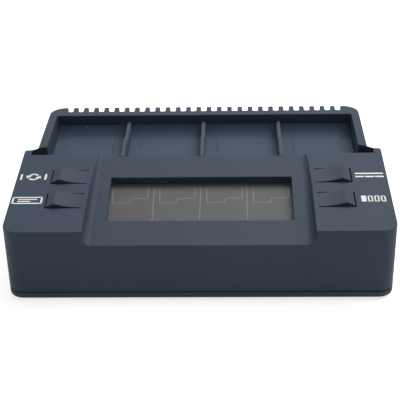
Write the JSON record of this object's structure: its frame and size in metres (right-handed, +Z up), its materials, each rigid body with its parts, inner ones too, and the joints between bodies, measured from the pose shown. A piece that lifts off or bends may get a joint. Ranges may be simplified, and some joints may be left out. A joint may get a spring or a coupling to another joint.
{
  "type": "battery charger",
  "caption": "Low table-top charger for block cells, with a sloping sunken display, sprung tongue keys, a shallow tray of bays with spring contacts and a notched rear wall.",
  "frame": {"origin": "middle of the footprint at the table, under the feet", "axes": "+X to the right as the user faces the display, +Y to the back with the tray, +Z up"},
  "size_m": [0.13, 0.0866, 0.0322],
  "materials": {
    "housing_slate": "fine matte texture",
    "housing_dark": "fine matte texture",
    "key_slate": "fine matte texture",
    "black_plastic": "satin",
    "stem_plastic": "satin",
    "clear_pane": "clear, polished",
    "display_cell": "dim grey display",
    "light_guide": "milky",
    "elastic_strip": "soft",
    "circuit_board": "solder mask",
    "flat_link": "smooth",
    "contact_metal": "nickel plated",
    "chip_plastic": "moulded",
    "dark_winding": "ferrite and tape",
    "capacitor_can": "shrink sleeve",
    "foot_rubber": "matte",
    "screw_steel": "zinc plated"
  },
  "bodies": {
    "case": {"top_housing": "housing_slate", "bay_insert": "housing_slate", "bottom_housing": "housing_dark", "key_switch_left_rear": "black_plastic", "key_switch_left_front": "black_plastic", "key_switch_right_rear": "black_plastic", "key_switch_right_front": "black_plastic", "display_window": "clear_pane", "lcd_glass": "display_cell", "lcd_frame": "black_plastic", "lcd_backlight": "light_guide", "lcd_strip_front": "elastic_strip", "lcd_strip_rear": "elastic_strip", "display_board": "circuit_board", "main_board": "circuit_board", "board_link": "flat_link", "contact_block_1": "black_plastic", "contact_block_2": "black_plastic", "contact_block_3": "black_plastic", "contact_block_4": "black_plastic", "dc_inlet": "black_plastic", "dc_pin": "contact_metal", "controller_chip": "chip_plastic", "charge_transistor_1": "chip_plastic", "charge_transistor_2": "chip_plastic", "charge_transistor_3": "chip_plastic", "charge_transistor_4": "chip_plastic", "choke": "dark_winding", "capacitor_left": "capacitor_can", "capacitor_right": "capacitor_can", "foot_front_left": "foot_rubber", "foot_front_right": "foot_rubber", "foot_rear_left": "foot_rubber", "foot_rear_right": "foot_rubber", "case_screws": "screw_steel", "board_screws": "screw_steel", "display_screws": "screw_steel"},
    "key_left_rear": {"key_left_rear": "key_slate"},
    "key_stem_left_rear": {"key_stem_left_rear": "stem_plastic"},
    "key_left_front": {"key_left_front": "key_slate"},
    "key_stem_left_front": {"key_stem_left_front": "stem_plastic"},
    "key_right_rear": {"key_right_rear": "key_slate"},
    "key_stem_right_rear": {"key_stem_right_rear": "stem_plastic"},
    "key_right_front": {"key_right_front": "key_slate"},
    "key_stem_right_front": {"key_stem_right_front": "stem_plastic"},
    "contact_blade_1": {"contact_blade_1": "contact_metal"},
    "contact_blade_2": {"contact_blade_2": "contact_metal"},
    "contact_blade_3": {"contact_blade_3": "contact_metal"},
    "contact_blade_4": {"contact_blade_4": "contact_metal"},
    "contact_blade_5": {"contact_blade_5": "contact_metal"},
    "contact_blade_6": {"contact_blade_6": "contact_metal"},
    "contact_blade_7": {"contact_blade_7": "contact_metal"},
    "contact_blade_8": {"contact_blade_8": "contact_metal"}
  },
  "joints": [
    {"name": "key_left_rear_hinge", "type": "hinge", "parent": "case", "child": "key_left_rear", "pos_m": [-0.0399, -0.00973, 0.02826], "axis": [0, -0.9971, -0.076], "range_deg": [0, 2.5], "stiffness_Nm_per_rad": 0.5},
    {"name": "key_stem_left_rear_slide", "type": "slide", "parent": "case", "child": "key_stem_left_rear", "axis": [0, 0.1666, -0.986], "range_m": [0, 0.00055]},
    {"name": "key_left_front_hinge", "type": "hinge", "parent": "case", "child": "key_left_front", "pos_m": [-0.0399, -0.02478, 0.02711], "axis": [0, -0.9971, -0.076], "range_deg": [0, 2.5], "stiffness_Nm_per_rad": 0.5},
    {"name": "key_stem_left_front_slide", "type": "slide", "parent": "case", "child": "key_stem_left_front", "axis": [0, 0.1666, -0.986], "range_m": [0, 0.00055]},
    {"name": "key_right_rear_hinge", "type": "hinge", "parent": "case", "child": "key_right_rear", "pos_m": [0.0399, -0.00973, 0.02826], "axis": [0, 0.9971, 0.076], "range_deg": [0, 2.5], "stiffness_Nm_per_rad": 0.5},
    {"name": "key_stem_right_rear_slide", "type": "slide", "parent": "case", "child": "key_stem_right_rear", "axis": [0, 0.1666, -0.986], "range_m": [0, 0.00055]},
    {"name": "key_right_front_hinge", "type": "hinge", "parent": "case", "child": "key_right_front", "pos_m": [0.0399, -0.02478, 0.02711], "axis": [0, 0.9971, 0.076], "range_deg": [0, 2.5], "stiffness_Nm_per_rad": 0.5},
    {"name": "key_stem_right_front_slide", "type": "slide", "parent": "case", "child": "key_stem_right_front", "axis": [0, 0.1666, -0.986], "range_m": [0, 0.00055]},
    {"name": "contact_blade_1_flex", "type": "hinge", "parent": "case", "child": "contact_blade_1", "pos_m": [-0.04955, 0.0099, 0.02275], "axis": [-1, 0, 0], "range_deg": [0, 10], "stiffness_Nm_per_rad": 0.04},
    {"name": "contact_blade_2_flex", "type": "hinge", "parent": "case", "child": "contact_blade_2", "pos_m": [-0.03685, 0.0099, 0.02275], "axis": [-1, 0, 0], "range_deg": [0, 10], "stiffness_Nm_per_rad": 0.04},
    {"name": "contact_blade_3_flex", "type": "hinge", "parent": "case", "child": "contact_blade_3", "pos_m": [-0.02075, 0.0099, 0.02275], "axis": [-1, 0, 0], "range_deg": [0, 10], "stiffness_Nm_per_rad": 0.04},
    {"name": "contact_blade_4_flex", "type": "hinge", "parent": "case", "child": "contact_blade_4", "pos_m": [-0.00805, 0.0099, 0.02275], "axis": [-1, 0, 0], "range_deg": [0, 10], "stiffness_Nm_per_rad": 0.04},
    {"name": "contact_blade_5_flex", "type": "hinge", "parent": "case", "child": "contact_blade_5", "pos_m": [0.00805, 0.0099, 0.02275], "axis": [-1, 0, 0], "range_deg": [0, 10], "stiffness_Nm_per_rad": 0.04},
    {"name": "contact_blade_6_flex", "type": "hinge", "parent": "case", "child": "contact_blade_6", "pos_m": [0.02075, 0.0099, 0.02275], "axis": [-1, 0, 0], "range_deg": [0, 10], "stiffness_Nm_per_rad": 0.04},
    {"name": "contact_blade_7_flex", "type": "hinge", "parent": "case", "child": "contact_blade_7", "pos_m": [0.03685, 0.0099, 0.02275], "axis": [-1, 0, 0], "range_deg": [0, 10], "stiffness_Nm_per_rad": 0.04},
    {"name": "contact_blade_8_flex", "type": "hinge", "parent": "case", "child": "contact_blade_8", "pos_m": [0.04955, 0.0099, 0.02275], "axis": [-1, 0, 0], "range_deg": [0, 10], "stiffness_Nm_per_rad": 0.04}
  ],
  "couplings": [
    {"joint": "key_stem_left_rear_slide", "follows": "key_left_rear_hinge", "m_per_rad": 0.0084},
    {"joint": "key_stem_left_front_slide", "follows": "key_left_front_hinge", "m_per_rad": 0.0084},
    {"joint": "key_stem_right_rear_slide", "follows": "key_right_rear_hinge", "m_per_rad": 0.0084},
    {"joint": "key_stem_right_front_slide", "follows": "key_right_front_hinge", "m_per_rad": 0.0084}
  ]
}
